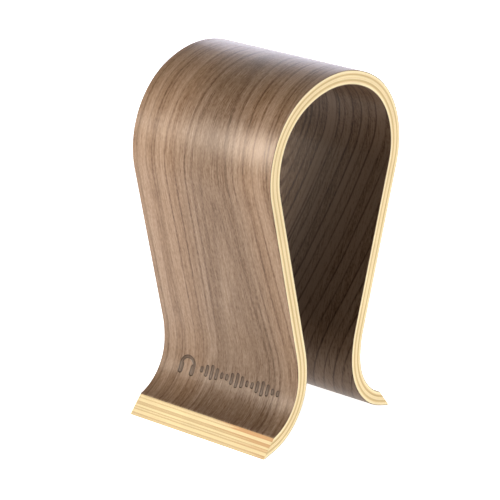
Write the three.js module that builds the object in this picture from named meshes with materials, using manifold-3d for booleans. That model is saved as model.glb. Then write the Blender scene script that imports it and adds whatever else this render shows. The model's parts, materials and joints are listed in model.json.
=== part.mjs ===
// Headphone stand bent from one plywood strip into the shape of an omega.
//
// Millimetres, +Z up. X runs across the strip, and the bent profile lies in the YZ plane, the same
// on both legs. The front leg is at -Y and carries an engraved mark on its foot. The origin is on
// the table, under the middle of the stand.
//
// The stand is a laminate: seven core plies with their grain crossed, and a walnut veneer on each
// face. Every layer is a mesh of its own, bent to the same profile at its own depth.

import * as THREE from 'three';
import { mergeVertices } from 'three/addons/utils/BufferGeometryUtils.js';
import Module from 'manifold-3d';

const wasm = await Module();
wasm.setup();

// ---- Driving dimensions, in millimetres and degrees ----

const STAND_HEIGHT = 265;
const STRIP_WIDTH = 125;

// Thicknesses, from the face inwards. The layup is the same from both faces.
const VENEER = 0.5;
const FIRST_PLY = 1.5;
const SECOND_PLY = 1.4;
const THIRD_PLY = 1.35;
const MIDDLE_PLY = 0.9;

// The profile of the outer face. A sweep is the angle that a bend turns through.
const CROWN_RADIUS = 84.5;
const CROWN_SWEEP = 27.4;
const SHOULDER_RADIUS = 61.4;
const LEG_LEAN = 15.1;
const ANKLE_RADIUS = 69;
const ANKLE_SWEEP = 17;
const INSTEP_RADIUS = 37;
const TOE_DIP = 15.4;
const TOE_LENGTH = 12.5;

// Each toe ends in a wide bevel and stands on a narrow flat, sanded square to the table.
const BEVEL_ANGLE = 49.5;
const SANDED_DEPTH = 0.8;

// The bends are drawn in straight facets that turn by at most this much.
const BEND_STEP = 4;

// The engraved mark: a headphones pictogram and a row of level bars, along the front foot. Its
// middle line lies this far up the foot from the bevel, and the other places are from that line.
const ENGRAVING_DEPTH = 0.3;
const MARK_ABOVE_BEVEL = 32;
const PICTOGRAM_X = -37.5;
const BAND_RADIUS = 7;
const BAND_LINE = 1.6;
const CUP_WIDTH = 3.4;
const CUP_HEIGHT = 8;
const CUP_Y = -3;
const BAR_COUNT = 16;
const BAR_PITCH = 4.7;
const BAR_WIDTH = 1.8;
const FIRST_BAR_X = -24;
const SHORT_BAR = 3.5;
const TALL_BAR = 10.5;
const BARS_PER_WAVE = 5;
const MARK_ARC_SEGMENTS = 6;
const CUTTER_REACH = 4;

const ON_TABLE = 1e-6;

// ---- The layup, from the outer face to the inner face ----

const WALNUT = { color: 0x8d6f57, roughness: 0.45 };
const LONG_GRAIN = { color: 0xf6dfb4, roughness: 0.7 };
const CROSS_GRAIN = { color: 0xdcbf8d, roughness: 0.8 };

const LAYERS = [
  { name: 'outer_walnut_veneer', thickness: VENEER, look: WALNUT },
  { name: 'core_ply_1', thickness: FIRST_PLY, look: LONG_GRAIN },
  { name: 'core_ply_2', thickness: SECOND_PLY, look: CROSS_GRAIN },
  { name: 'core_ply_3', thickness: THIRD_PLY, look: LONG_GRAIN },
  { name: 'core_ply_4', thickness: MIDDLE_PLY, look: CROSS_GRAIN },
  { name: 'core_ply_5', thickness: THIRD_PLY, look: LONG_GRAIN },
  { name: 'core_ply_6', thickness: SECOND_PLY, look: CROSS_GRAIN },
  { name: 'core_ply_7', thickness: FIRST_PLY, look: LONG_GRAIN },
  { name: 'inner_walnut_veneer', thickness: VENEER, look: WALNUT },
];
const THICKNESS = LAYERS.reduce((sum, layer) => sum + layer.thickness, 0);

// ---- The profile ----

const radians = THREE.MathUtils.degToRad;

/** The direction of travel for a heading, in degrees below the horizontal, towards the front. */
function along(heading) {
  return new THREE.Vector2(-Math.cos(radians(heading)), -Math.sin(radians(heading)));
}

/** The direction out of the strip's outer face at a heading. */
function outward(heading) {
  return new THREE.Vector2(-Math.sin(radians(heading)), Math.cos(radians(heading)));
}

/** The outer face of the front leg, from the top of the stand to the toe, with its headings. */
function walkLeg(legLength) {
  const legHeading = 90 + LEG_LEAN;
  const stretches = [
    { radius: CROWN_RADIUS, turn: CROWN_SWEEP },
    { radius: SHOULDER_RADIUS, turn: legHeading - CROWN_SWEEP },
    { length: legLength },
    { radius: ANKLE_RADIUS, turn: -ANKLE_SWEEP },
    { radius: INSTEP_RADIUS, turn: TOE_DIP + ANKLE_SWEEP - legHeading },
    { length: TOE_LENGTH },
  ];
  let heading = 0;
  let point = new THREE.Vector2(0, STAND_HEIGHT);
  const stations = [{ point, heading }];
  for (const { radius, turn, length } of stretches) {
    const steps = turn ? Math.ceil(Math.abs(turn) / BEND_STEP) : 1;
    const step = turn ? turn / steps : 0;
    const chord = turn ? 2 * radius * Math.sin(radians(Math.abs(step) / 2)) : length;
    for (let i = 0; i < steps; i += 1) {
      point = point.clone().addScaledVector(along(heading + step / 2), chord);
      heading += step;
      stations.push({ point, heading });
    }
  }
  return stations;
}

/** The point at a depth under the outer face at a station. */
function atDepth({ point, heading }, depth) {
  return point.clone().addScaledVector(outward(heading), -depth);
}

/** The straight part of the leg takes up the height that the bends leave. */
function legLengthForHeight() {
  const tip = atDepth(walkLeg(0).at(-1), THICKNESS);
  return (tip.y + SANDED_DEPTH) / Math.cos(radians(LEG_LEAN));
}

const STATIONS = walkLeg(legLengthForHeight());
const TOE_TIP = atDepth(STATIONS.at(-1), THICKNESS);

// The planes that finish the front toe, as distances that are positive on the wood that stays.
const bevelNormal = new THREE.Vector2(Math.sin(radians(BEVEL_ANGLE)), -Math.cos(radians(BEVEL_ANGLE)));
const behindBevel = (point) => point.clone().sub(TOE_TIP).dot(bevelNormal);
const aboveTable = (point) => point.y;
const BEVEL_FOOT = new THREE.Vector2(TOE_TIP.x + SANDED_DEPTH / Math.tan(radians(BEVEL_ANGLE)), 0);

/** A leg's line with its toe end cut off where it crosses a plane. */
function cutToe(line, distance) {
  const kept = [...line];
  let lost = null;
  while (distance(kept.at(-1)) < 0) lost = kept.pop();
  if (lost) {
    const here = distance(kept.at(-1));
    kept.push(kept.at(-1).clone().lerp(lost, here / (here - distance(lost))));
  }
  return kept;
}

/** One depth of the front leg, from the top of the stand to its finished toe. */
function legLine(depth) {
  const line = STATIONS.map((station) => atDepth(station, depth));
  return cutToe(cutToe(line, behindBevel), aboveTable);
}

/** A closed outline of both legs, from the outline's front half. */
function withRearLeg(front) {
  const rear = front.slice(1, -1).map((point) => new THREE.Vector2(-point.x, point.y));
  return [...front, ...rear.reverse()];
}

function layerOutline(topDepth, bottomDepth) {
  const top = legLine(topDepth);
  const bottom = legLine(bottomDepth);
  const reachesTable = (line) => line.at(-1).y < ON_TABLE;
  const corner = reachesTable(bottom) && !reachesTable(top) ? [BEVEL_FOOT] : [];
  return withRearLeg([...top, ...corner, ...bottom.reverse()]);
}

// ---- Solids ----

/** A prism across the strip, of an outline drawn in the YZ plane. */
function acrossStrip(outline) {
  const shape = new THREE.Shape(outline);
  const geometry = new THREE.ExtrudeGeometry(shape, { depth: STRIP_WIDTH, bevelEnabled: false });
  const drawnInYZ = new THREE.Matrix4().makeBasis(
    new THREE.Vector3(0, 1, 0),
    new THREE.Vector3(0, 0, 1),
    new THREE.Vector3(1, 0, 0),
  );
  geometry.applyMatrix4(drawnInYZ);
  return geometry.translate(-STRIP_WIDTH / 2, 0, 0);
}

function toSolid(geometry) {
  const bare = geometry.clone();
  bare.deleteAttribute('normal');
  bare.deleteAttribute('uv');
  const merged = mergeVertices(bare);
  return new wasm.Manifold(new wasm.Mesh({
    numProp: 3,
    vertProperties: new Float32Array(merged.attributes.position.array),
    triVerts: new Uint32Array(merged.index.array),
  }));
}

function toGeometry(solid) {
  const { vertProperties, triVerts } = solid.getMesh();
  const geometry = new THREE.BufferGeometry();
  geometry.setAttribute('position', new THREE.BufferAttribute(vertProperties, 3));
  geometry.setIndex(new THREE.BufferAttribute(triVerts, 1));
  geometry.computeVertexNormals();
  return geometry;
}

// ---- The engraved mark ----

/** A bar with round ends, along the foot. */
function roundBar(x, y, width, height) {
  const round = width / 2;
  const straight = height / 2 - round;
  const shape = new THREE.Shape();
  shape.absarc(x, y + straight, round, 0, Math.PI, false);
  shape.absarc(x, y - straight, round, Math.PI, 2 * Math.PI, false);
  return shape;
}

/** A half ring for the headband, with a round bar for the ear cup over each end. */
function headphonesPictogram() {
  const band = new THREE.Shape();
  band.absarc(PICTOGRAM_X, 0, BAND_RADIUS, 0, Math.PI, false);
  band.absarc(PICTOGRAM_X, 0, BAND_RADIUS - BAND_LINE, Math.PI, 0, true);
  const cupOffset = BAND_RADIUS - CUP_WIDTH / 2;
  const cups = [-cupOffset, cupOffset].map(
    (offset) => roundBar(PICTOGRAM_X + offset, CUP_Y, CUP_WIDTH, CUP_HEIGHT),
  );
  return [band, ...cups];
}

/** Level bars whose heights rise and fall in waves. */
function levelBars() {
  return Array.from({ length: BAR_COUNT }, (_, i) => {
    const wave = Math.sin((Math.PI * (i + 0.5)) / BARS_PER_WAVE) ** 2;
    const height = SHORT_BAR + wave * (TALL_BAR - SHORT_BAR);
    return roundBar(FIRST_BAR_X + i * BAR_PITCH, 0, BAR_WIDTH, height);
  });
}

/** Where the mark's middle line lies: up the front foot from the top edge of the bevel. */
function markStation() {
  const bevelTop = legLine(0).at(-1);
  let left = MARK_ABOVE_BEVEL;
  let here = bevelTop;
  const upTheLeg = STATIONS.filter(({ point }) => point.y > bevelTop.y).reverse();
  for (const { point, heading } of upTheLeg) {
    const gap = here.distanceTo(point);
    if (gap >= left) return { point: here.clone().lerp(point, left / gap), heading };
    left -= gap;
    here = point;
  }
  throw new Error('the mark lies past the top of the stand');
}

/** Cutters that follow the face of the foot at one depth, one for each shape of the mark. */
function markCutters() {
  const { point, heading } = markStation();
  const up = along(heading).negate();
  const out = outward(heading);
  const onFoot = new THREE.Matrix4().makeBasis(
    new THREE.Vector3(1, 0, 0),
    new THREE.Vector3(0, up.x, up.y),
    new THREE.Vector3(0, out.x, out.y),
  );
  onFoot.setPosition(0, point.x, point.y);
  const skin = toSolid(acrossStrip(layerOutline(-CUTTER_REACH, ENGRAVING_DEPTH)));
  return [...headphonesPictogram(), ...levelBars()].map((shape) => {
    const geometry = new THREE.ExtrudeGeometry(shape, {
      depth: 2 * CUTTER_REACH,
      bevelEnabled: false,
      curveSegments: MARK_ARC_SEGMENTS,
    });
    geometry.translate(0, 0, -CUTTER_REACH).applyMatrix4(onFoot);
    return toSolid(geometry).intersect(skin);
  });
}

// ---- The stand ----

function layerMesh({ name, thickness, look }, topDepth) {
  let geometry = acrossStrip(layerOutline(topDepth, topDepth + thickness));
  if (topDepth === 0) {
    const engraved = markCutters().reduce((solid, cutter) => solid.subtract(cutter), toSolid(geometry));
    geometry = toGeometry(engraved);
  }
  const material = new THREE.MeshStandardMaterial({ ...look, metalness: 0 });
  const mesh = new THREE.Mesh(geometry, material);
  mesh.name = name;
  return mesh;
}

function headphoneStand() {
  const stand = new THREE.Group();
  let depth = 0;
  for (const layer of LAYERS) {
    stand.add(layerMesh(layer, depth));
    depth += layer.thickness;
  }
  return stand;
}

export default headphoneStand();
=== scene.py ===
"""The looks of a headphone stand bent from one plywood strip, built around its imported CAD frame.

Metres, +Z up. X runs across the strip and the bent profile lies in the YZ plane, the same on both
legs. Each layer of the laminate is a fine closed mesh that stands for its CAD node. Its material
is drawn in the strip's own unbent directions, so the grain follows the bends as it does in real
bent wood.
"""

import json
import math

import bmesh
import bpy
import numpy as np
from mathutils import Matrix, Vector


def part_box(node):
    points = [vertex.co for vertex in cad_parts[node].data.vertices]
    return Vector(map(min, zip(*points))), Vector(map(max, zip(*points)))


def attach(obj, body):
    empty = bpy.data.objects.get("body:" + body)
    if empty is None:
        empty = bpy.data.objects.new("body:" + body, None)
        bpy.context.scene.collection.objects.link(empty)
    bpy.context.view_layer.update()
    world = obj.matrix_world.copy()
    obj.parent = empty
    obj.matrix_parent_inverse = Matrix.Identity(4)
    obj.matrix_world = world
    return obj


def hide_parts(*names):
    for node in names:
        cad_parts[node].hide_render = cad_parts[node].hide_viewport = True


MM = 0.001

# ---- The frame ----

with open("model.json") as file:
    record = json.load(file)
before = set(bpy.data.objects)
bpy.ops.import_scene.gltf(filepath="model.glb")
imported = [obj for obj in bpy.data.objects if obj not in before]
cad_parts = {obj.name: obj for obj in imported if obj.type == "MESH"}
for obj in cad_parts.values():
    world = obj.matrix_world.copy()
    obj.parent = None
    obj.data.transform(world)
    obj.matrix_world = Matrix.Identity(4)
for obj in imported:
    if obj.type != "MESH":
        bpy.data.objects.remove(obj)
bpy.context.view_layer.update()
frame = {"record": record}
outer_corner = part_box("outer_walnut_veneer")[1]
STAND_HEIGHT = outer_corner.z
HALF_WIDTH = outer_corner.x

CORE_PLIES = [f"core_ply_{i}" for i in range(1, 8)]
LAYERS = ["outer_walnut_veneer"] + CORE_PLIES + ["inner_walnut_veneer"]
SLOTS = {s["node"]: s["material_slot"] for s in frame["record"]["subparts"]}

# How deep each layer's top face lies under the outer face, read at the top of the arch.
TOP_DEPTHS = [STAND_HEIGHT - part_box(name)[1].z for name in LAYERS]
VENEER = TOP_DEPTHS[1]
THICKNESS = TOP_DEPTHS[-1] + VENEER

# ---- The profile of the outer face, as in the CAD part ----

CROWN_RADIUS = 84.5 * MM
CROWN_SWEEP = math.radians(27.4)
SHOULDER_RADIUS = 61.4 * MM
LEG_LEAN = math.radians(15.1)
ANKLE_RADIUS = 69 * MM
ANKLE_SWEEP = math.radians(17)
INSTEP_RADIUS = 37 * MM
TOE_DIP = math.radians(15.4)
TOE_LENGTH = 12.5 * MM
BEVEL_ANGLE = math.radians(49.5)
SANDED_DEPTH = 0.8 * MM

# The steps of the walk along the face, and of the meshes in the bends and on the straights. How much
# the face bends is read a little ahead of each step, and counts as at least NO_BEND. Down the last
# stretch of the toe, each depth goes to its own end.
WALK_STEP = math.radians(0.25)
BEND_STEP = math.radians(1)
STRAIGHT_STEP = 4 * MM
LOOK_AHEAD = 0.5 * MM
NO_BEND = 1e-6
TOE_STRETCH = 2 * MM
TOE_STEPS = 14

# Where the toe's cuts are looked for: how far back along the strip, how far out from the inner
# face, and in how many places.
END_SEARCH = 40 * MM
END_PLACES = 4001
FOOT_SEARCH = 3 * MM
FOOT_PLACES = 601

# ---- The engraved mark ----

# The places and heights are the CAD part's. The lines and bars are 0.4 mm wider, and the walls slope.
ENGRAVING_DEPTH = 0.3 * MM
ENGRAVING_WALL = 0.8 * MM
MARK_ABOVE_BEVEL = 32 * MM
MARK_GRID = 0.25 * MM
PICTOGRAM_X = -37.5 * MM
BAND_RADIUS = 7 * MM
BAND_LINE = 2.0 * MM
CUP_WIDTH = 3.4 * MM
CUP_HEIGHT = 8 * MM
CUP_Y = -3 * MM
BAR_COUNT = 16
BAR_PITCH = 4.7 * MM
BAR_WIDTH = 2.2 * MM
FIRST_BAR_X = -24 * MM
SHORT_BAR = 3.5 * MM
TALL_BAR = 10.5 * MM
BARS_PER_WAVE = 5
MARK_HALF_HEIGHT = 9 * MM

ARRIS = 0.3 * MM
ARRIS_STEPS = 4

# ---- The walk along the outer face ----


def leg_walk(leg_length):
    """The front leg's outer face from the top to the toe: arc lengths, points in YZ and headings.

    A heading is the angle of travel below the horizontal, towards the front.
    """
    leg_heading = math.pi / 2 + LEG_LEAN
    stretches = [
        (CROWN_RADIUS, CROWN_SWEEP),
        (SHOULDER_RADIUS, leg_heading - CROWN_SWEEP),
        (leg_length, 0),
        (ANKLE_RADIUS, -ANKLE_SWEEP),
        (INSTEP_RADIUS, TOE_DIP + ANKLE_SWEEP - leg_heading),
        (TOE_LENGTH, 0),
    ]
    lengths, points, headings = [0.0], [np.array([0.0, STAND_HEIGHT])], [0.0]
    for size, turn in stretches:
        steps = math.ceil(abs(turn) / WALK_STEP) if turn else 1
        step = turn / steps
        arc = size * abs(step) if turn else size
        chord = 2 * size * math.sin(abs(step) / 2) if turn else size
        for _ in range(steps):
            middle = headings[-1] + step / 2
            move = chord * np.array([-math.cos(middle), -math.sin(middle)])
            points.append(points[-1] + move)
            lengths.append(lengths[-1] + arc)
            headings.append(headings[-1] + step)
    return np.array(lengths), np.array(points), np.array(headings)


def outward(headings):
    """The direction out of the outer face, in YZ."""
    return np.stack([-np.sin(headings), np.cos(headings)], axis=-1)


def leg_length_for_height():
    """The straight part's length that brings the sanded toe to the table."""
    _, points, headings = leg_walk(0.0)
    tip = points[-1] - outward(headings[-1]) * THICKNESS
    return (tip[1] + SANDED_DEPTH) / math.cos(LEG_LEAN)


LEG_LENGTH = leg_length_for_height()
WALK = leg_walk(LEG_LENGTH)
TOE_TIP = WALK[1][-1] - outward(WALK[2][-1]) * THICKNESS
BEVEL_NORMAL = np.array([math.sin(BEVEL_ANGLE), -math.cos(BEVEL_ANGLE)])
BEVEL_FOOT = np.array([TOE_TIP[0] + SANDED_DEPTH / math.tan(BEVEL_ANGLE), 0.0])


def on_strip(travel, depth):
    """Points in YZ at travels from the top, positive to the front, and depths under the outer face."""
    lengths, points, headings = WALK
    distance = np.abs(travel)
    heading = np.interp(distance, lengths, headings)
    outer = np.stack([np.interp(distance, lengths, points[:, k]) for k in (0, 1)], axis=-1)
    placed = outer - outward(heading) * np.asarray(depth)[..., None]
    placed[..., 0] *= np.where(travel < 0, -1, 1)
    return placed


def toe_end(depth):
    """How far the front leg travels at a depth, before the bevel or the table cuts it off."""
    travels = np.linspace(WALK[0][-1] - END_SEARCH, WALK[0][-1], END_PLACES)
    points = on_strip(travels, np.full(len(travels), depth))
    inside = np.minimum((points - TOE_TIP) @ BEVEL_NORMAL, points[:, 1])
    past = np.nonzero(inside < 0)[0]
    if len(past) == 0:
        return travels[-1]
    here, there = inside[past[0] - 1], inside[past[0]]
    return travels[past[0] - 1] + (travels[1] - travels[0]) * here / (here - there)


def depth_of_bevel_foot():
    """The depth at which the bevel meets the table."""
    depths = np.linspace(THICKNESS - FOOT_SEARCH, THICKNESS, FOOT_PLACES)
    ends = [on_strip(np.array([toe_end(d)]), np.array([d]))[0] for d in depths]
    return depths[int(np.argmin([np.linalg.norm(e - BEVEL_FOOT) for e in ends]))]


COMMON_END = toe_end(0.0) - TOE_STRETCH
FOOT_DEPTH = depth_of_bevel_foot()
MARK_MIDDLE = toe_end(0.0) - MARK_ABOVE_BEVEL
MARK_RANGE = (MARK_MIDDLE - MARK_HALF_HEIGHT, MARK_MIDDLE + MARK_HALF_HEIGHT)


def common_travels(marked):
    """Travels along the front leg, up to where the toe's cuts begin.

    They are close together in the bends, and closer still across the mark where the layer has it.
    """
    lengths, _, headings = WALK
    travels = [0.0]
    while travels[-1] < COMMON_END:
        bend = np.interp(travels[-1] + LOOK_AHEAD, lengths, np.gradient(headings, lengths))
        step = min(STRAIGHT_STEP, BEND_STEP / max(abs(bend), NO_BEND))
        travels.append(travels[-1] + step)
    travels = np.array(travels[:-1])
    if marked:
        low, high = MARK_RANGE
        fine = np.arange(low, high + MARK_GRID / 2, MARK_GRID)
        before = travels[travels < low - MARK_GRID]
        after = travels[travels > high + MARK_GRID]
        travels = np.concatenate([before, fine, after])
    return np.append(travels, COMMON_END)


# ---- The mark's shape, as distances that are negative inside it ----


def bar_distance(x, y, centre_x, centre_y, width, height):
    """Distance to an upright bar with round ends."""
    reach = height / 2 - width / 2
    return np.hypot(x - centre_x, np.maximum(np.abs(y - centre_y) - reach, 0)) - width / 2


def mark_distance(x, y):
    """Distance to the pictogram and the level bars; y runs up the foot from the mark's middle line."""
    ring = np.abs(np.hypot(x - PICTOGRAM_X, y) - (BAND_RADIUS - BAND_LINE / 2)) - BAND_LINE / 2
    shapes = [np.maximum(ring, -y)]
    for side in (-1, 1):
        cup_x = PICTOGRAM_X + side * (BAND_RADIUS - CUP_WIDTH / 2)
        shapes.append(bar_distance(x, y, cup_x, CUP_Y, CUP_WIDTH, CUP_HEIGHT))
    for i in range(BAR_COUNT):
        wave = math.sin(math.pi * (i + 0.5) / BARS_PER_WAVE) ** 2
        height = SHORT_BAR + wave * (TALL_BAR - SHORT_BAR)
        shapes.append(bar_distance(x, y, FIRST_BAR_X + i * BAR_PITCH, 0, BAR_WIDTH, height))
    return np.minimum.reduce(shapes)


def smooth(value, low, high):
    """From 0 at low to 1 at high, eased in and out."""
    t = np.clip((value - low) / (high - low), 0, 1)
    return t * t * (3 - 2 * t)


# ---- Layer meshes ----


class LayerMesh:
    """A closed mesh of one layer, gathered as points, faces and the smooth group of each face."""

    def __init__(self):
        self.points = []
        self.grain = []
        self.cut = []
        self.level = []
        self.faces = []
        self.groups = []

    def add(self, x, travel, depth, level=0.0, sink=0.0, cut=0.0):
        y, z = on_strip(np.array([travel]), np.array([depth + sink]))[0]
        self.points.append((x, y, z))
        self.grain.append((x, travel, depth))
        self.cut.append(cut)
        self.level.append(level)
        return len(self.points) - 1

    def face(self, corners, group):
        self.faces.append(corners)
        self.groups.append(group)

    def make(self, name):
        mesh = bpy.data.meshes.new(name)
        mesh.from_pydata(self.points, [], self.faces)
        grain = mesh.attributes.new("grain", "FLOAT_VECTOR", "POINT")
        grain.data.foreach_set("vector", np.array(self.grain, np.float32).ravel())
        for title, values in (("cut", self.cut), ("level", self.level)):
            attribute = mesh.attributes.new(title, "FLOAT", "POINT")
            attribute.data.foreach_set("value", np.array(values, np.float32))
        bm = bmesh.new()
        bm.from_mesh(mesh)
        bm.faces.ensure_lookup_table()
        groups = self.groups
        for face in bm.faces:
            face.smooth = True
        for edge in bm.edges:
            edge.smooth = len({groups[f.index] for f in edge.link_faces}) == 1
        bmesh.ops.recalc_face_normals(bm, faces=bm.faces)
        bm.to_mesh(mesh)
        bm.free()
        piece = bpy.data.objects.new(name, mesh)
        bpy.context.scene.collection.objects.link(piece)
        return piece


def layer_ring(top, bottom, eased_top=False, eased_bottom=False):
    """A layer's cross-section as (x, depth), once round from the right end of its top face."""
    ring = []

    def corner(x_side, depth, eased, entering_side):
        if not eased:
            ring.append((x_side * HALF_WIDTH, depth))
            return
        inward = 1 if depth == top else -1
        turns = np.linspace(0, math.pi / 2, ARRIS_STEPS + 1)
        if not entering_side:
            turns = turns[::-1]
        for turn in turns:
            x = HALF_WIDTH - ARRIS * (1 - math.sin(turn))
            ring.append((x_side * x, depth + inward * ARRIS * (1 - math.cos(turn))))

    corner(1, top, eased_top, True)
    if top < FOOT_DEPTH < bottom:
        ring.append((HALF_WIDTH, FOOT_DEPTH))
    corner(1, bottom, eased_bottom, False)
    corner(-1, bottom, eased_bottom, True)
    if top < FOOT_DEPTH < bottom:
        ring.append((-HALF_WIDTH, FOOT_DEPTH))
    corner(-1, top, eased_top, False)
    return ring


def ring_group(start, end, top, eased):
    """The smooth group between two ring points: broad faces and sides shade apart unless eased."""
    if eased:
        return "skin"
    if start[1] == end[1]:
        return "top" if start[1] == top else "bottom"
    return "right" if start[0] > 0 else "left"


def leg_travels(common, depth):
    """Travels down the front leg at a depth: the common ones, then even steps to the toe's cut."""
    fractions = np.arange(1, TOE_STEPS + 1) / TOE_STEPS
    return np.concatenate([common, COMMON_END + (toe_end(depth) - COMMON_END) * fractions])


def ring_rows(layer, ring, common, top, bottom):
    """The ring's points at each travel, from the rear toe over the top to the front toe."""
    legs = {depth: leg_travels(common, depth) for _, depth in ring}
    count = len(common) + TOE_STEPS
    rows = []
    for i in range(1 - count, count):
        row = []
        for x, depth in ring:
            travel = math.copysign(legs[depth][abs(i)], i)
            row.append(layer.add(x, travel, depth, (depth - top) / (bottom - top)))
        rows.append(row)
    return rows


def engraved_rows(layer, common, first):
    """Fine points across the outer face, sunk where the mark is, under the numbers of their rows."""
    low, high = MARK_RANGE
    columns = np.arange(-HALF_WIDTH + ARRIS, HALF_WIDTH - ARRIS, MARK_GRID)[1:]
    rows = {}
    for i, travel in enumerate(common):
        if not low - MARK_GRID / 4 <= travel <= high + MARK_GRID / 4:
            continue
        distance = mark_distance(columns, MARK_MIDDLE - travel)
        cuts = 1 - smooth(distance, -ENGRAVING_WALL / 2, ENGRAVING_WALL / 2)
        rows[first + i] = [
            layer.add(x, travel, 0.0, sink=ENGRAVING_DEPTH * cut, cut=cut)
            for x, cut in zip(columns, cuts)
        ]
    return rows


def skin_faces(layer, near, far, group):
    """Faces between two edges: a row of quads, or one face where only one of the edges is fine."""
    if len(near) != len(far):
        layer.face(near + far[::-1], group)
        return
    for m in range(len(near) - 1):
        layer.face([near[m], near[m + 1], far[m + 1], far[m]], group)


def end_faces(layer, row, ring, end):
    """The cut at a toe: the part on the bevel, and the part on the table where the layer has one."""
    on_bevel = [point for point, (_, depth) in zip(row, ring) if depth <= FOOT_DEPTH]
    on_table = [point for point, (_, depth) in zip(row, ring) if depth >= FOOT_DEPTH]
    if len(on_bevel) > 2:
        layer.face(on_bevel, end)
    if len(on_table) > 2:
        layer.face(on_table, end + " on the table")


def build_layer(name, top, bottom):
    """One layer's mesh, between two depths; the veneers' outer long edges are eased."""
    marked = name == "outer_walnut_veneer"
    eased = name.endswith("veneer")
    ring = layer_ring(top, bottom, eased_top=marked, eased_bottom=eased and not marked)
    layer = LayerMesh()
    common = common_travels(marked)
    rows = ring_rows(layer, ring, common, top, bottom)
    fine_rows = engraved_rows(layer, common, len(rows) // 2) if marked else {}

    for i in range(len(rows) - 1):
        for j in range(len(ring)):
            k = (j + 1) % len(ring)
            group = ring_group(ring[j], ring[k], top, eased)
            # The ring closes across the top face, which is the one that the mark is cut into.
            near_fine = fine_rows.get(i, []) if k == 0 else []
            far_fine = fine_rows.get(i + 1, []) if k == 0 else []
            near = [rows[i][j]] + near_fine + [rows[i][k]]
            far = [rows[i + 1][j]] + far_fine + [rows[i + 1][k]]
            skin_faces(layer, near, far, group)
    end_faces(layer, rows[0], ring, "rear end")
    end_faces(layer, rows[-1], ring, "front end")
    return layer.make(name + ".look")


# ---- Node helpers ----


BUMP_STRENGTH = 0.5


class Nodes:
    """Short names for the shader nodes that the wood is made of."""

    def __init__(self, tree):
        self.tree = tree

    def new(self, kind, **settings):
        node = self.tree.nodes.new(kind)
        for key, value in settings.items():
            setattr(node, key, value)
        return node

    def put(self, socket, value):
        if isinstance(value, bpy.types.NodeSocket):
            self.tree.links.new(value, socket)
        else:
            socket.default_value = value

    def math(self, operation, a, b=0.0, clamp=False):
        node = self.new("ShaderNodeMath", operation=operation, use_clamp=clamp)
        self.put(node.inputs[0], a)
        self.put(node.inputs[1], b)
        return node.outputs[0]

    def add(self, a, b):
        return self.math("ADD", a, b)

    def subtract(self, a, b):
        return self.math("SUBTRACT", a, b)

    def times(self, a, b):
        return self.math("MULTIPLY", a, b)

    def size(self, a):
        return self.math("ABSOLUTE", a)

    def vector(self, operation, a, b):
        node = self.new("ShaderNodeVectorMath", operation=operation)
        self.put(node.inputs[0], a)
        self.put(node.inputs[1], b)
        return node.outputs[0]

    def split(self, vector):
        node = self.new("ShaderNodeSeparateXYZ")
        self.put(node.inputs[0], vector)
        return node.outputs

    def join(self, x, y, z):
        node = self.new("ShaderNodeCombineXYZ")
        for socket, value in zip(node.inputs, (x, y, z)):
            self.put(socket, value)
        return node.outputs[0]

    def noise(self, vector, detail, roughness):
        node = self.new("ShaderNodeTexNoise")
        self.put(node.inputs["Vector"], vector)
        node.inputs["Scale"].default_value = 1.0
        node.inputs["Detail"].default_value = detail
        node.inputs["Roughness"].default_value = roughness
        return node.outputs["Fac"]

    def remap(self, value, low, high, to_low=0.0, to_high=1.0, kind="SMOOTHSTEP"):
        """The value's way from low to high, eased in and out unless kind is LINEAR, and clamped."""
        node = self.new("ShaderNodeMapRange", interpolation_type=kind)
        for socket, v in zip(node.inputs, (value, low, high, to_low, to_high)):
            self.put(socket, v)
        return node.outputs[0]

    def mix(self, factor, a, b, blend="MIX"):
        """A blend of two colours; a Mix node keeps its colour sockets at places 6, 7 and 2."""
        node = self.new("ShaderNodeMix", data_type="RGBA", blend_type=blend, clamp_factor=True)
        self.put(node.inputs["Factor"], factor)
        self.put(node.inputs[6], a)
        self.put(node.inputs[7], b)
        return node.outputs[2]

    def tint(self, color, by):
        return self.mix(1.0, color, by, "MULTIPLY")

    def ramp(self, value, stops):
        node = self.new("ShaderNodeValToRGB")
        self.put(node.inputs[0], value)
        elements = node.color_ramp.elements
        while len(elements) < len(stops):
            elements.new(1.0)
        for element, (place, color) in zip(elements, stops):
            element.position = place
            element.color = color
        return node.outputs[0]

    def attribute(self, name, output):
        return self.new("ShaderNodeAttribute", attribute_name=name).outputs[output]

    def bump(self, height, distance):
        node = self.new("ShaderNodeBump")
        node.inputs["Strength"].default_value = BUMP_STRENGTH
        node.inputs["Distance"].default_value = distance
        self.put(node.inputs["Height"], height)
        return node.outputs[0]


def new_material(name, roughness):
    """A material with its shader and the means to add nodes to it."""
    material = bpy.data.materials.new(name)
    material.use_nodes = True
    shader = material.node_tree.nodes["Principled BSDF"]
    shader.inputs["Roughness"].default_value = roughness
    return material, shader, Nodes(material.node_tree)


def rgb(r, g, b):
    return (r, g, b, 1.0)


# ---- Wood ----

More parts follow.
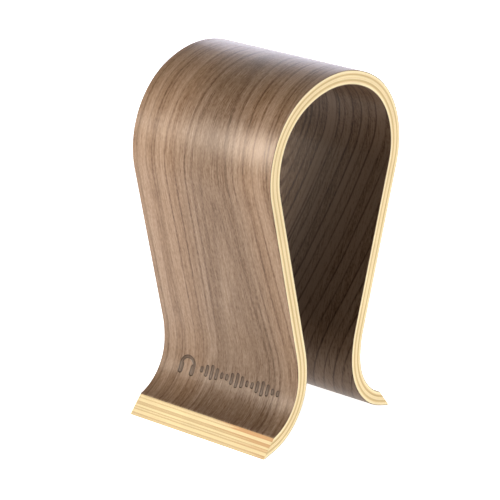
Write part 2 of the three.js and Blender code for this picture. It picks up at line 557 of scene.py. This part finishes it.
# The walnut's growth rings, placed to resemble the photo's. Each has its place out from the
# pith in millimetres, how dark its line is, and the shade of the wood from there out to the next,
# above or below the average.
GROWTH_RINGS = [
    (6.0, 0.40, -0.20),
    (11.0, 0.40, -0.45),
    (14.5, 0.30, -0.20),
    (17.5, 0.35, -0.45),
    (20.3, 0.40, -0.35),
    (23.7, 0.80, 0.05),
    (27.6, 0.95, 0.25),
    (31.0, 0.35, 0.05),
    (34.4, 1.00, -0.40),
    (38.0, 0.25, -0.20),
    (41.5, 1.00, 0.55),
    (46.0, 0.25, 0.30),
    (50.1, 0.75, -0.10),
    (52.6, 0.90, -0.10),
    (57.7, 0.60, 0.45),
    (65.0, 0.70, -0.20),
    (72.5, 0.95, 0.25),
    (79.0, 0.50, -0.15),
    (86.0, 0.95, 0.35),
    (95.0, 0.60, -0.10),
    (103.0, 0.90, 0.20),
    (112.0, 0.55, -0.25),
    (121.0, 0.95, 0.15),
    (130.0, 0.60, -0.10),
    (139.0, 0.90, 0.30),
    (147.0, 0.50, -0.15),
    (156.0, 0.85, 0.20),
]


class Grain:
    """A sheet's own directions in millimetres, and noise drawn out along them."""

    def __init__(self, n, seed):
        self.n = n
        self.seed = seed
        in_mm = n.vector("MULTIPLY", n.attribute("grain", "Vector"), (1 / MM, 1 / MM, 1 / MM))
        self.across, self.along, self.depth = n.split(in_mm)

    def noise(self, a, a_rate, b, b_rate, offset, detail, roughness=0.5):
        """Noise from 0 to 1 over two lengths, at rates in cycles per millimetre.

        Each offset gives a pattern of its own.
        """
        n = self.n
        place = n.join(n.times(a, a_rate), n.times(b, b_rate), self.seed + offset)
        return n.noise(place, detail, roughness)

    def streaks(self, position, across_rate, along_rate, offset, detail=1.0):
        """Noise about zero, drawn out along the strip."""
        noise = self.noise(position, across_rate, self.along, along_rate, offset, detail, 0.6)
        return self.n.subtract(noise, 0.5)


# ---- Walnut ----


def distances_from_pith(n, grain, pith, lean, cut_depth, taper, flare):
    """How far out a point lies across the sheet from the pith's line, and in which growth ring."""
    from_pith = n.subtract(n.subtract(grain.across, pith), n.times(grain.along, lean))
    from_pith = n.add(from_pith, n.times(grain.streaks(grain.across, 0.02, 0.004, 0.0), 3.0))
    from_pith = n.add(from_pith, n.times(grain.streaks(grain.across, 0.07, 0.012, 1.0), 1.2))
    radius = n.math("SQRT", n.add(n.math("POWER", from_pith, 2.0), cut_depth ** 2))
    growth = n.add(taper, n.times(n.size(grain.along), flare))
    ring = n.size(n.subtract(radius, n.times(grain.along, growth)))
    return from_pith, ring


def growth_rings(n, grain, ring):
    """The shade of the wood between the rings, and the dark lines along them, broken and fading."""
    shade_before = GROWTH_RINGS[0][2]
    band = shade_before
    line = 0.0
    for place, darkness, shade in GROWTH_RINGS:
        past = n.subtract(ring, place)
        line = n.math("MAXIMUM", line, n.remap(n.size(past), 0.2, 1.1, darkness, 0.0))
        band = n.add(band, n.remap(past, -0.5, 0.5, 0.0, shade - shade_before))
        shade_before = shade
    fading = n.remap(grain.streaks(grain.across, 0.06, 0.010, 2.0), -0.25, 0.10, 0.35, 1.1)
    breaks = n.remap(grain.streaks(grain.across, 0.9, 0.30, 3.0), -0.2, 0.2, 0.6, 1.25)
    return band, n.times(n.times(line, fading), breaks)


def walnut_tone(n, grain, from_pith, ring, band, heart, fibre, contrast):
    """How light the wood is, about 0 to 1: the rings' shades, with broad, middling and fine streaks."""
    figure = n.add(ring, n.times(from_pith, 0.2))
    parts = [
        (grain.streaks(from_pith, 0.03, 0.0012, 4.0, 0.0), 0.40 * contrast),
        (grain.streaks(figure, 0.12, 0.002, 5.0, 0.0), 0.35 * contrast),
        (grain.streaks(figure, 0.30, 0.003, 6.0, 0.0), 0.45),
        (grain.streaks(from_pith, 0.70, 0.008, 7.0, 1.0), 0.65),
        (fibre, 1.25),
        (grain.streaks(grain.across, 0.9, 0.35, 9.0), 0.90),
    ]
    tone = n.subtract(n.times(band, 0.36 * contrast), n.times(heart, 0.12))
    tone = n.add(tone, 0.57)
    for noise, weight in parts:
        tone = n.add(tone, n.times(noise, weight * contrast))
    return tone


def engraved(n, color):
    """The colour with the mark burnt in: darkest on its walls, where cut is neither 0 nor 1."""
    cut = n.attribute("cut", "Fac")
    wall = n.remap(n.size(n.subtract(cut, 0.5)), 0.38, 0.5, 1.0, 0.0)
    burnt = n.math("ADD", n.times(cut, 0.7), wall, clamp=True)
    return n.mix(burnt, color, rgb(0.030, 0.012, 0.005))


def walnut(name, middle, contrast, seed, pith, lean, cut_depth, taper, flare, sheen):
    """Crown-cut walnut: growth rings in tall arches, with fine streaks and pores along the strip.

    Lengths are in millimetres. The pith crosses the top of the arch at pith, leans across by lean
    for each millimetre along, and lies cut_depth under the sheet. The rings are cones about it,
    wider by taper for each millimetre along, and more so by flare further from the top.
    """
    material, shader, n = new_material(name, 0.45)
    shader.inputs["Specular IOR Level"].default_value = sheen
    shader.inputs["Specular Tint"].default_value = rgb(1.0, 0.84, 0.68)
    grain = Grain(n, seed)
    from_pith, ring = distances_from_pith(n, grain, pith, lean, cut_depth, taper, flare)
    band, line = growth_rings(n, grain, ring)
    fibre = grain.streaks(from_pith, 1.5, 0.075, 8.0)
    heart = n.remap(ring, 20.0, 40.0, 1.0, 0.0)
    tone = walnut_tone(n, grain, from_pith, ring, band, heart, fibre, contrast)

    dark = rgb(*np.multiply(middle, (0.50, 0.40, 0.30)))
    light = rgb(*np.multiply(middle, (1.38, 1.53, 1.75)))
    color = n.ramp(tone, [(0.0, dark), (0.5, rgb(*middle)), (1.0, light)])
    color = n.mix(n.times(heart, 0.8), color, n.tint(color, rgb(0.92, 1.00, 1.12)))
    line_color = n.tint(color, rgb(0.42, 0.32, 0.24))
    color = n.mix(n.math("MULTIPLY", line, 0.80 * contrast, clamp=True), color, line_color)
    pores = n.remap(grain.streaks(from_pith, 2.4, 0.12, 11.0), 0.10, 0.20)
    color = n.mix(n.times(pores, 0.35), color, dark)

    n.put(shader.inputs["Base Color"], engraved(n, color))
    roughness = n.remap(n.add(fibre, pores), -0.3, 1.0, 0.34, 0.48, "LINEAR")
    n.put(shader.inputs["Roughness"], roughness)
    relief = n.subtract(n.times(fibre, 0.5), pores)
    n.put(shader.inputs["Normal"], n.bump(relief, 0.05 * MM))
    return material


# ---- Core plies ----

PALE_WOOD = rgb(0.92, 0.74, 0.40)
TAN_WOOD = rgb(0.62, 0.43, 0.17)
STREAK = rgb(0.72, 0.50, 0.23)
STAIN = rgb(0.62, 0.28, 0.09)
GLUE = rgb(0.50, 0.31, 0.14)

# On the sides, two bands of the core are tan, at this distance in millimetres from its middle.
TAN_BAND = 1.75


def side_wood(n, grain, side_color, uneven):
    """The ply on the strip's sides: pale, but for the two tan bands."""
    from_middle = n.size(n.subtract(grain.depth, THICKNESS / MM / 2))
    from_band = n.size(n.subtract(from_middle, TAN_BAND))
    band = n.remap(from_band, 0.35, 1.2, 1.0, 0.0)
    band = n.times(band, n.remap(uneven, 0.40, 0.60, 1.0, 0.5))
    return n.mix(band, side_color, TAN_WOOD)


def stained(n, grain, on_cut, end_grain, color):
    """The colour with a brown stain on end grain at each cut's right end, less in the deeper plies."""
    wander = grain.noise(grain.across, 0.03, grain.depth, 1.1, 6.0, 2.0)
    reach = n.add(grain.across, n.times(n.subtract(wander, 0.5), 110.0))
    reach = n.subtract(reach, n.times(grain.depth, 4.0))
    stain = n.times(n.remap(reach, 0.0, 22.0), on_cut)
    stain = n.times(stain, end_grain)
    stain = n.times(stain, n.remap(grain.depth, 2.0, 6.0, 1.0, 0.45))
    return n.mix(n.times(stain, 0.75), color, STAIN)


def core(name, seed, side_color, cut_color, along_side):
    """One kind of core ply, with side_color on the strip's sides and cut_color on the toes' cuts.

    Where its grain runs along a face it shows long fibres, and where it is cut across, fine dots.
    """
    material, shader, n = new_material(name, 0.6)
    grain = Grain(n, seed)
    across, along, depth = grain.across, grain.along, grain.depth
    normal = n.new("ShaderNodeNewGeometry").outputs["True Normal"]
    on_side = n.remap(n.size(n.split(normal)[0]), 0.4, 0.6)
    on_cut = n.subtract(1.0, on_side)
    run, other = (along, across) if along_side else (across, along)
    long_grain = on_side if along_side else on_cut
    end_grain = n.subtract(1.0, long_grain)

    fibres = grain.noise(run, 0.035, depth, 3.4, 0.0, 3.0, 0.6)
    dots = grain.noise(other, 1.7, depth, 3.0, 2.0, 2.0, 0.6)
    patches = grain.noise(across, 0.03, along, 0.02, 4.0, 2.0)
    drift = grain.noise(run, 0.008, depth, 0.6, 8.0, 1.0)
    texture = n.mix(long_grain, dots, fibres)
    uneven = n.add(n.times(fibres, 0.25), n.times(drift, 0.7))
    level = n.attribute("level", "Fac")
    from_glue = n.math("MINIMUM", level, n.subtract(1.0, level))

    pale = n.times(n.remap(n.add(from_glue, uneven), 0.66, 0.95), end_grain)
    cut = n.mix(pale, cut_color, PALE_WOOD)
    color = n.mix(on_side, cut, side_wood(n, grain, side_color, uneven))
    streak = n.times(n.remap(fibres, 0.50, 0.64), on_cut)
    color = n.mix(n.times(streak, 0.45), color, STREAK)
    shade = n.remap(texture, 0.3, 0.7, 0.88, 1.06, "LINEAR")
    shade = n.times(shade, n.remap(patches, 0.3, 0.7, 0.94, 1.04, "LINEAR"))
    color = n.tint(color, n.join(shade, shade, shade))
    warmer = n.tint(color, rgb(0.80, 0.60, 0.42))
    color = n.mix(n.remap(texture, 0.52, 0.38, 0.0, 0.25), color, warmer)
    glue = n.remap(from_glue, 0.03, 0.08, 0.3, 0.0)
    color = n.mix(glue, color, GLUE)

    n.put(shader.inputs["Base Color"], stained(n, grain, on_cut, end_grain, color))
    n.put(shader.inputs["Roughness"], n.remap(texture, 0.3, 0.7, 0.5, 0.68, "LINEAR"))
    n.put(shader.inputs["Normal"], n.bump(n.subtract(texture, glue), 0.06 * MM))
    return material


# ---- The stand ----


OUTER_WALNUT = {
    "middle": (0.204, 0.123, 0.071),
    "contrast": 1.0,
    "seed": 3.0,
    "pith": 2.0,
    "lean": 0.05,
    "cut_depth": 24.0,
    "taper": 0.045,
    "flare": 0.0,
    "sheen": 0.5,
}
# The inner veneer's middle colour is about half the outer's: partly the veneer's own darker wood,
# partly painted shade for the inside of the arch.
INNER_WALNUT_AND_PAINTED_SHADE = {
    "middle": (0.104, 0.058, 0.031),
    "contrast": 1.9,
    "seed": 41.0,
    "pith": -24.0,
    "lean": 0.03,
    "cut_depth": 5.0,
    "taper": 0.03,
    "flare": 0.0007,
    "sheen": 0.25,
}
LONG_GRAIN = {
    "seed": 5.0,
    "side_color": rgb(0.96, 0.80, 0.47),
    "cut_color": rgb(0.74, 0.52, 0.25),
    "along_side": True,
}
CROSS_GRAIN = {
    "seed": 9.0,
    "side_color": rgb(0.88, 0.69, 0.37),
    "cut_color": rgb(0.94, 0.76, 0.41),
    "along_side": False,
}


def stand():
    """Every layer, in the place of its CAD node and with its slot's wood."""
    materials = {
        "walnut_outer": walnut("walnut_outer.look", **OUTER_WALNUT),
        "walnut_inner": walnut("walnut_inner.look", **INNER_WALNUT_AND_PAINTED_SHADE),
        "core_long_grain": core("core_long_grain.look", **LONG_GRAIN),
        "core_cross_grain": core("core_cross_grain.look", **CROSS_GRAIN),
    }
    bottoms = TOP_DEPTHS[1:] + [THICKNESS]
    for name, top, bottom in zip(LAYERS, TOP_DEPTHS, bottoms):
        piece = build_layer(name, top, bottom)
        piece.data.materials.append(materials[SLOTS[name]])
        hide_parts(name)
        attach(piece, "root")


# ---- Studio ----

# Each softbox's name, azimuth, elevation, distance, width and height, radiance, the height it aims
# at, the spread of its light in degrees, which is narrow where it wears a grid, and its colour.
WHITE = (1.0, 1.0, 1.0)
COOL = (0.99, 0.98, 1.13)
SOFTBOXES = [
    ("key", -18, 13, 0.9, (0.40, 0.48), 1.54, 0.20, 65, WHITE),
    ("key_high", -20, 22, 0.9, (0.40, 0.30), 0.98, 0.24, 40, WHITE),
    ("strip", -46, 9, 0.9, (0.90, 0.14), 0.95, 0.21, 70, WHITE),
    ("back", -165, 16, 1.4, (1.6, 0.9), 2.9, 0.13, 180, COOL),
    ("back_high", -150, 42, 1.4, (1.2, 0.6), 0.85, 0.20, 180, WHITE),
    ("right", 110, 14, 1.3, (1.1, 0.6), 3.4, 0.13, 180, WHITE),
]
FLOOR_GLOW = 1.1

CAMERA_AZIMUTH = math.radians(39.58)
CAMERA_ELEVATION = math.radians(18.53)
CAMERA_ROLL = math.radians(1.35)
CAMERA_DISTANCE = 2.044
CAMERA_TARGET = Vector((-0.0101, -0.0038, 0.1206))
CAMERA_LENS = 206.0
SENSOR_WIDTH = 36.0

FLOOR_SIZE = 8.0
FLOOR_HEIGHT = -0.2 * MM


def from_angles(azimuth, elevation):
    """A unit vector towards an azimuth, from the front round to the right, and an elevation."""
    level = math.cos(elevation)
    return Vector((math.sin(azimuth) * level, -math.cos(azimuth) * level, math.sin(elevation)))


def add_camera():
    """A long lens that looks down at the stand from the front right, slightly rolled."""
    data = bpy.data.cameras.new("camera")
    data.lens = CAMERA_LENS
    data.sensor_width = SENSOR_WIDTH
    camera = bpy.data.objects.new("camera", data)
    back = from_angles(CAMERA_AZIMUTH, CAMERA_ELEVATION)
    turn = (-back).to_track_quat("-Z", "Y").to_matrix().to_4x4()
    place = Matrix.Translation(CAMERA_TARGET + back * CAMERA_DISTANCE)
    camera.matrix_world = place @ turn @ Matrix.Rotation(CAMERA_ROLL, 4, "Z")
    bpy.context.scene.collection.objects.link(camera)
    bpy.context.scene.camera = camera


def add_softbox(name, azimuth, elevation, distance, size, radiance, aim, spread, color):
    """A rectangular softbox that faces the stand's middle line at the height it aims at."""
    data = bpy.data.lights.new(name, "AREA")
    data.shape = "RECTANGLE"
    data.size, data.size_y = size
    data.energy = radiance * math.pi * size[0] * size[1]
    data.spread = math.radians(spread)
    data.color = color
    light = bpy.data.objects.new(name, data)
    towards = from_angles(math.radians(azimuth), math.radians(elevation))
    turn = (-towards).to_track_quat("-Z", "Y").to_matrix().to_4x4()
    light.matrix_world = Matrix.Translation(Vector((0, 0, aim)) + towards * distance) @ turn
    light.visible_camera = False
    bpy.context.scene.collection.objects.link(light)


def add_floor():
    """A matt floor that glows white, as a lit table does."""
    bpy.ops.mesh.primitive_plane_add(size=FLOOR_SIZE, location=(0, 0, FLOOR_HEIGHT))
    floor = bpy.context.active_object
    floor.name = "floor"
    material, shader, _ = new_material("floor", 0.8)
    shader.inputs["Base Color"].default_value = rgb(0.8, 0.8, 0.8)
    shader.inputs["Specular IOR Level"].default_value = 0.0
    shader.inputs["Emission Color"].default_value = rgb(1.0, 1.0, 1.0)
    shader.inputs["Emission Strength"].default_value = FLOOR_GLOW
    floor.data.materials.append(material)


def add_world():
    """A white surround for the camera that adds no light of its own."""
    world = bpy.data.worlds.new("world")
    bpy.context.scene.world = world
    world.use_nodes = True
    nodes = Nodes(world.node_tree)
    background = world.node_tree.nodes["Background"]
    nodes.put(background.inputs["Strength"], nodes.new("ShaderNodeLightPath").outputs["Is Camera Ray"])
    background.inputs["Color"].default_value = rgb(1.0, 1.0, 1.0)


add_camera()
stand()
add_floor()
add_world()
for softbox in SOFTBOXES:
    add_softbox(*softbox)
bpy.context.scene.view_settings.view_transform = "Standard"
